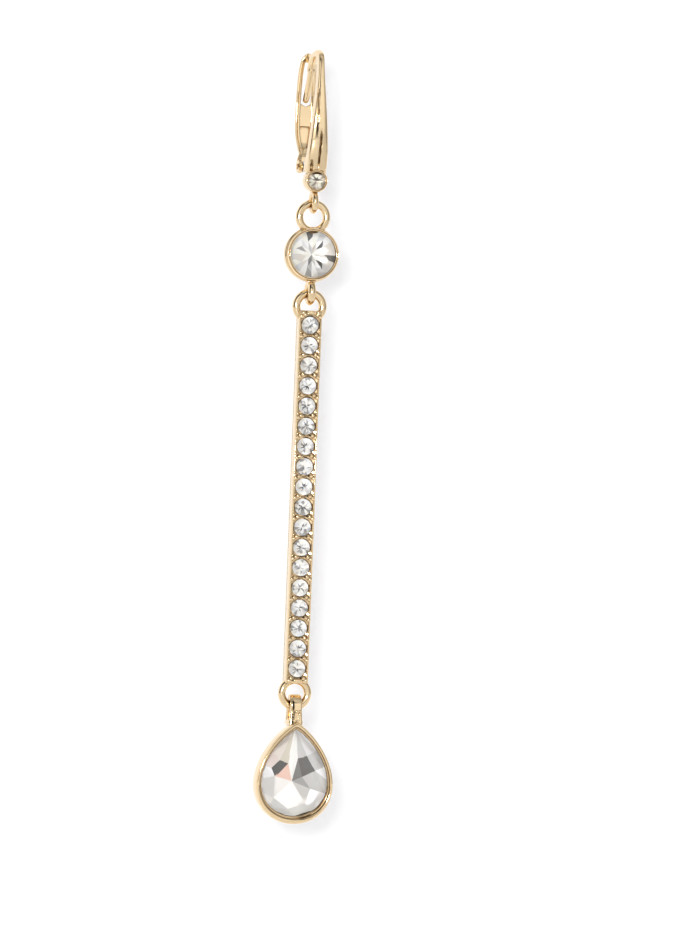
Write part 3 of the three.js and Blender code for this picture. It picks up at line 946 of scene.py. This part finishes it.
# Share of the arm's drop, of its gain in width and in depth, and how far its face steps back
# round the small bezel
ARM_ROWS = [
    (0.975, 1, 1, 0.2), (0.945, 0.99, 0.85, 0.18), (0.92, 0.97, 0.7, 0.02), (0.84, 0.93, 0.1, 0),
    (0.73, 0.8, 0.05, 0), (0.6, 0.62, 0, 0), (0.45, 0.39, 0, 0), (0.3, 0.17, 0, 0),
    (0.17, 0.04, 0, 0), (0.06, 0, 0, 0),
]
# Share of the way back over the top, of the shoulder's fall and of the change to its section
TOP_ROWS = [(0.4, 0.17, 0.3), (0.7, 0.035, 0.8), (1, 0.012, 1)]
# Share of the way from the crest to the shoulder, and of its fall
SHOULDER_ROWS = [(0.45, 0.1), (0.78, 0.35), (0.95, 0.68), (0.99, 0.93)]
# Share of the way from the shoulder to the tip, back and down, and of the wire's thickness
WIRE_ROWS = [
    (0.03, 0.04, 1), (0.3, 0.38, 1), (0.62, 0.7, 1), (0.9, 0.93, 0.95), (0.97, 0.98, 0.75), (1, 1, 0.35),
]


def hook_rows():
    rows = []
    for drop, wide, deep, step in ARM_ROWS:
        depth = ARM_DEPTH + (ARM_FOOT_DEPTH - ARM_DEPTH) * deep - step
        rows.append((depth / 2 + step - ARM_BOW * 4 * drop * (1 - drop) - CREST, -ARM_DROP * drop,
                     ARM_TOP_WIDTH + (ARM_FOOT_WIDTH - ARM_TOP_WIDTH) * wide, depth, 0.36))
    reach, fall, thick = SHOULDER
    for back, drop, gain in TOP_ROWS:
        rows.append((CREST * back - CREST, -fall * drop, ARM_TOP_WIDTH + (thick - ARM_TOP_WIDTH) * gain,
                     NECK_DEPTH + (thick - NECK_DEPTH) * gain, 0.4 + 0.5 * gain))
    for back, drop in SHOULDER_ROWS:
        rows.append(((reach - CREST) * back, -fall * drop, thick, thick, 1.0))
    tip_back, tip_drop, wire = WIRE
    for back, drop, share in WIRE_ROWS:
        rows.append((reach - CREST + (tip_back - reach) * back, -fall - (tip_drop - fall) * drop,
                     wire * share, wire * share, 1.0))
    return rows


def hook_casting():
    shells = Shells()
    stone = size("hook_stone")
    at = cup_front("hook_stone")
    arm_loft(shells, hook_rows())
    outer = 1.25
    turned(shells, at, cup_rows(outer, rim=1.2, rim_height=0.4, back=1.15, depth=2.5, opening=0.925,
                                stone_radius=stone.x / 2, stone_depth=stone.y), 64)
    pivot = pivot_of("lever_hinge")
    lug, radius = LUG[0] / 2, LUG[1]
    rounded_bar(shells, Vector((-lug, -CREST + ARM_DEPTH / 2, pivot.z - radius)),
                Vector((lug, pivot.y, pivot.z + radius)), 0.1)
    shells.loft([circle(Vector((x, pivot.y, pivot.z)), Vector((1, 0, 0)), radius - inset, 48)
                 for x, inset in ((-lug, 0.07), (0.07 - lug, 0), (lug - 0.07, 0), (lug, 0.07))])
    hang = pivot_of("connector_swing")
    ring = 0.68
    opening = 1.24
    centre = Vector((0, hang.y, hook_low.z + ring + opening / 2))
    ring_wire(shells, centre, opening, ring, True)
    rounded_bar(shells, Vector((-0.34, hang.y - 0.68, centre.z + (opening + ring) / 2)),
                Vector((0.34, hang.y + 0.68, at.z - outer + 0.2)), 0.1)
    piece = gold_piece("hook_casting", shells, "hook", "ear_hook")
    # Painted shade on the wall inside the small bezel and on the floors of the arm's grooves.
    shade(piece, inside_ring(at, 0.95))
    shade(piece, lambda at, out: out.y < -0.1 and groove(at.x, at.z) > 0.05)


hook_casting()


LEVER_THICKNESS = 0.6
LEVER_WIDTH = 2.15
LEVER_RAIL = 0.5
# Inner and outer face of a cheek from the middle, and its radius
CHEEK = (0.53, 1.03, 0.7)
FORK_DROP = 11.2
LOWER_WINDOW = (10.1, 7.7)
UPPER_WINDOW = (5.3, 0.7)
BRIDGE_NOTCH = 0.18
# Height share from the hinge, and how far back the lever stands there as a share of its reach
LEVER_BACKS = [
    (0, 0), (0.1, 0.6), (0.2, 0.88), (0.35, 0.98), (0.5, 0.98), (0.65, 0.91), (0.8, 0.76),
    (0.9, 0.65), (1, 0.53),
]
# Height share from the hinge, and half the lever's width there as a share of its full width
LEVER_HALVES = [
    (0, CHEEK[1] / LEVER_WIDTH), (0.045, CHEEK[1] / LEVER_WIDTH), (0.085, 0.38), (0.118, 0.3),
    (0.15, 0.33), (0.21, 0.4), (0.3, 0.48), (0.4, 0.5), (0.5, 0.5), (0.67, 0.49), (0.8, 0.47),
    (0.88, 0.43), (0.93, 0.37), (0.965, 0.28), (0.99, 0.15), (1, 0.03),
]


def lever_casting():
    shells = Shells()
    pivot = pivot_of("lever_hinge")
    top = lever_high.z
    reach = lever_high.y - LEVER_THICKNESS / 2 - pivot.y
    backs = spline(LEVER_BACKS, 8)
    cheek_in, cheek_out, cheek_radius = CHEEK
    halves = spline(LEVER_HALVES, 8)

    def read(rows, share):
        for (a, p), (b, q) in zip(rows, rows[1:]):
            if share <= b:
                return p + (q - p) * (share - a) / max(b - a, 1e-9)
        return rows[-1][1]

    def at(share, lift, x):
        """A point on the strip: height share, distance behind its middle plane, and side."""
        step = 0.004
        height = top - pivot.z
        y = pivot.y + reach * read(backs, share)
        z = pivot.z + height * share
        low, high = max(share - step, 0), min(share + step, 1)
        run = reach * (read(backs, high) - read(backs, low))
        along = Vector((0, run, height * (high - low))).normalized()
        return Vector((x, y, z)) + Vector((0, along.z, -along.y)) * lift

    def half(share):
        return LEVER_WIDTH * read(halves, share)

    def strip(shares, inner, outer):
        """A length of strip between two sides that may change with the height."""
        rings = []
        for share in shares:
            a, b = inner(share), outer(share)
            width = max(abs(b - a), 0.03)
            rings.append([
                at(share, n, (a + b) / 2 + x)
                for x, n in rounded_rectangle(width, LEVER_THICKNESS, min(0.1, width * 0.45), 3)
            ])
        shells.loft(rings)

    fork, window_foot, bridge_foot, bridge_top, window_top = (
        (-drop - pivot.z) / (top - pivot.z)
        for drop in (FORK_DROP, *LOWER_WINDOW, *UPPER_WINDOW)
    )

    def span(low, high, count):
        return [low + (high - low) * i / count for i in range(count + 1)]

    for side in (-1, 1):
        strip(span(0.0, fork + 0.03, 8), lambda share: side * cheek_in, lambda share: side * half(share))
        strip(span(fork, 0.96, 90), lambda share: side * max(half(share) - LEVER_RAIL, 0.0),
              lambda share: side * half(share))
        shells.loft([circle(Vector((side * x, pivot.y, pivot.z)), Vector((1, 0, 0)), cheek_radius - inset, 48)
                     for x, inset in ((cheek_in, 0.05), (cheek_in + 0.05, 0), (cheek_out - 0.1, 0),
                                      (cheek_out, 0.1))])
    strip(span(fork, window_foot, 10), lambda share: -half(share) + 0.2, lambda share: half(share) - 0.2)
    strip(span(window_top, 1.0, 14), lambda share: -half(share), lambda share: half(share))
    # a thin web behind the lower window
    shells.loft([
        [at(share, n, x) for x, n in ((-half(share) + 0.2, 0.12), (half(share) - 0.2, 0.12),
                                      (half(share) - 0.2, 0.24), (-half(share) + 0.2, 0.24))]
        for share in span(window_foot - 0.01, bridge_foot + 0.01, 12)
    ])
    # the bridge between the windows, with a notch in its upper edge
    inner = LEVER_WIDTH / 2 - LEVER_RAIL + 0.1
    notch = BRIDGE_NOTCH / (top - pivot.z)
    rings = []
    for i in range(17):
        x = inner * (2 * i / 16 - 1)
        upper = bridge_top + notch * (2 * abs(x) / inner - 1)
        bevel = 0.006
        ring = []
        for j in range(9):
            ring.append(at(bridge_foot + bevel + (upper - bridge_foot - 2 * bevel) * j / 8, -0.24, x))
        ring.append(at(upper, -0.16, x))
        ring.append(at(upper, 0.16, x))
        for j in range(9):
            ring.append(at(upper - bevel - (upper - bridge_foot - 2 * bevel) * j / 8, 0.24, x))
        ring.append(at(bridge_foot, 0.16, x))
        ring.append(at(bridge_foot, -0.16, x))
        rings.append(ring)
    shells.loft(rings)
    gold_piece("lever_casting", shells, "lever", "lever")


lever_casting()

# The pin runs through the lever's cheeks, which have no hole of their own
frame["nodes"]["hinge_pin"].data.materials.clear()
frame["nodes"]["hinge_pin"].data.materials.append(gold)


# Stage: pale floor and a one-sided white backdrop

def stage_material(name, glow, one_sided):
    """Plain pale paint. The one-sided paint is clear from behind."""
    material, tree, shader = new_material(name)
    fill(tree, shader, {
        "Base Color": (0.93, 0.93, 0.94, 1), "Roughness": 0.9, "Specular IOR Level": 0.0,
        "Emission Color": (1, 1, 1, 1), "Emission Strength": glow,
    })
    if one_sided:
        clear = add(tree, "BsdfTransparent", {})
        side = add(tree, "NewGeometry", {})
        mix = add(tree, "MixShader", {
            "Fac": side.outputs["Backfacing"], 1: shader.outputs["BSDF"], 2: clear.outputs["BSDF"],
        })
        fill(tree, tree.nodes["Material Output"], {"Surface": mix.outputs["Shader"]})
    return material


def plane(name, centre, width, height, normal, material):
    mesh = bpy.data.meshes.new(name)
    turn = normal.to_track_quat("Z", "Y").to_matrix()
    corners = [Vector((x * width / 2, y * height / 2, 0)) for x, y in ((-1, -1), (1, -1), (1, 1), (-1, 1))]
    mesh.from_pydata([(turn @ c + centre) * MM for c in corners], [], [(0, 1, 2, 3)])
    mesh.materials.append(material)
    piece = bpy.data.objects.new(name, mesh)
    bpy.context.scene.collection.objects.link(piece)


plane("floor", Vector((0, 0, -100)), 1600, 1600, Vector((0, 0, 1)),
      stage_material("floor_paint", glow=0.25, one_sided=False))
plane("backdrop", Vector((0, 17, -40)), 420, 300, Vector((0, -1, 0)),
      stage_material("backdrop_paint", glow=0.16, one_sided=True))


# Light

def toward(azimuth, elevation):
    """The direction at an azimuth and an elevation in degrees. Azimuth 0 is the front."""
    a, e = math.radians(azimuth), math.radians(elevation)
    return Vector((math.sin(a) * math.cos(e), -math.cos(a) * math.cos(e), math.sin(e)))


def dark_card(tree, direction, azimuth, elevation, half_width, half_height, left_over):
    """How much light is left beside a soft-edged dark card that stands in a direction. Its
    half sizes are in degrees."""
    ahead = toward(azimuth, elevation)
    side = Vector((math.cos(math.radians(azimuth)), math.sin(math.radians(azimuth)), 0))

    def along(axis):
        return add(tree, "VectorMath", {0: direction, 1: axis}, "DOT_PRODUCT").outputs["Value"]

    def product(one, other):
        return add(tree, "Math", {0: one, 1: other}, "MULTIPLY").outputs["Value"]

    spreads = []
    for axis, degrees in ((side, half_width), (side.cross(ahead), half_height)):
        reach = math.sin(math.radians(degrees))
        across = add(tree, "Math", {0: along(axis)}, "ABSOLUTE")
        edge = add(tree, "MapRange", {
            "From Min": reach * 1.25, "From Max": reach * 0.75, "Value": across.outputs["Value"],
        })
        edge.interpolation_type = "SMOOTHSTEP"
        spreads.append(edge.outputs["Result"])
    near = add(tree, "Math", {0: along(ahead), 1: 0.0}, "GREATER_THAN")
    card = product(product(*spreads), near.outputs["Value"])
    left = add(tree, "MapRange", {"To Min": 1.0, "To Max": left_over, "Value": card})
    return left.outputs["Result"]


# Azimuth, elevation, half width and half height in degrees, and the share of light left
CARDS = [
    (3, 0, 4.5, 60, 0.03),
    (58, 0, 28, 70, 0.5),
    (-86, 0, 28, 70, 0.04),
    (98, 0, 24, 70, 0.04),
    (-30, 40, 40, 9, 0.25),
    (150, 0, 22, 60, 0.35),
    (-10, -58, 60, 18, 0.1),
]
ROOM_LIGHT = 1.22


def studio_world():
    """Soft white room that is darker low down, with a few dark cards in it, and plain white
    where it is looked at directly."""
    world = bpy.data.worlds.new("studio")
    bpy.context.scene.world = world
    world.use_nodes = True
    tree = world.node_tree
    tree.nodes.clear()
    direction = add(tree, "TexCoord", {}).outputs["Generated"]
    split = add(tree, "SeparateXYZ", {"Vector": direction})
    lift = add(tree, "MapRange", {"From Min": -1, "From Max": 1, "Value": split.outputs["Z"]})
    height = add(tree, "ValToRGB", {"Fac": lift.outputs["Result"]})
    rise = height.color_ramp
    rise.elements[0].position = 0.0
    rise.elements[0].color = (0.45, 0.45, 0.47, 1)
    rise.elements[1].position = 1.0
    rise.elements[1].color = (1.0, 1.0, 1.0, 1)
    for position, shade_there in ((0.3, 0.62), (0.45, 0.86), (0.6, 0.95)):
        stop = rise.elements.new(position)
        stop.color = (shade_there, shade_there, shade_there * 1.01, 1)
    light = height.outputs["Color"]
    for card in CARDS:
        left = dark_card(tree, direction, *card)
        light = add(tree, "VectorMath", {0: light, "Scale": left}, "SCALE").outputs["Vector"]
    room = add(tree, "Background", {"Strength": ROOM_LIGHT, "Color": light})
    white = add(tree, "Background", {"Color": (1, 1, 1, 1)})
    ray = add(tree, "LightPath", {})
    mix = add(tree, "MixShader", {
        "Fac": ray.outputs["Is Camera Ray"], 1: room.outputs["Background"], 2: white.outputs["Background"],
    })
    add(tree, "OutputWorld", {"Surface": mix.outputs["Shader"]})


EARRING_MIDDLE = Vector((0, 0, -41))


def panel(name, azimuth, elevation, distance, width, power):
    """A square light panel that looks at the middle of the earring."""
    light = bpy.data.lights.new(name, "AREA")
    light.size = width * MM
    light.energy = power
    light.specular_factor = 0.15
    lamp = bpy.data.objects.new(name, light)
    bpy.context.scene.collection.objects.link(lamp)
    back = toward(azimuth, elevation)
    lamp.location = (EARRING_MIDDLE + back * distance) * MM
    lamp.rotation_euler = back.to_track_quat("Z", "Y").to_euler()


studio_world()
panel("key", azimuth=-17, elevation=4, distance=600, width=70, power=1.1)


# Camera at the photo's angle

PHOTO_WIDTH = 700
PHOTO_HEIGHT = 933
MM_PER_PIXEL = 0.1075
CAMERA_AZIMUTH = -13.3
CAMERA_ELEVATION = 0.0
CAMERA_ROLL = 2.2
LENS = 220
SENSOR = 36
# Where the top of the hook stands in the photo, from its upper left corner
TOP_PIXEL = Vector((321.5, 48.5))
# How far that top lies behind the hook's foremost point
TOP_BEHIND = 1.1


def photo_camera():
    data = bpy.data.cameras.new("camera")
    data.lens = LENS
    data.sensor_width = SENSOR
    camera = bpy.data.objects.new("camera", data)
    bpy.context.scene.collection.objects.link(camera)
    bpy.context.scene.camera = camera
    back = toward(CAMERA_AZIMUTH, CAMERA_ELEVATION)
    turn = back.to_track_quat("Z", "Y").to_matrix() @ Matrix.Rotation(math.radians(CAMERA_ROLL), 3, "Z")
    right, up = turn.col[0], turn.col[1]
    hook_top = Vector((0, hook_low.y + TOP_BEHIND, hook_high.z))
    offset_x = (PHOTO_WIDTH / 2 - TOP_PIXEL.x) * MM_PER_PIXEL
    offset_y = (TOP_PIXEL.y - PHOTO_HEIGHT / 2) * MM_PER_PIXEL
    aim = hook_top + right * offset_x + up * offset_y
    distance = PHOTO_HEIGHT * MM_PER_PIXEL * LENS / SENSOR
    camera.location = (aim + back * distance) * MM
    camera.rotation_euler = turn.to_euler()
    data.clip_start = 0.01
    data.clip_end = 10


photo_camera()
bpy.context.scene.view_settings.view_transform = "Standard"
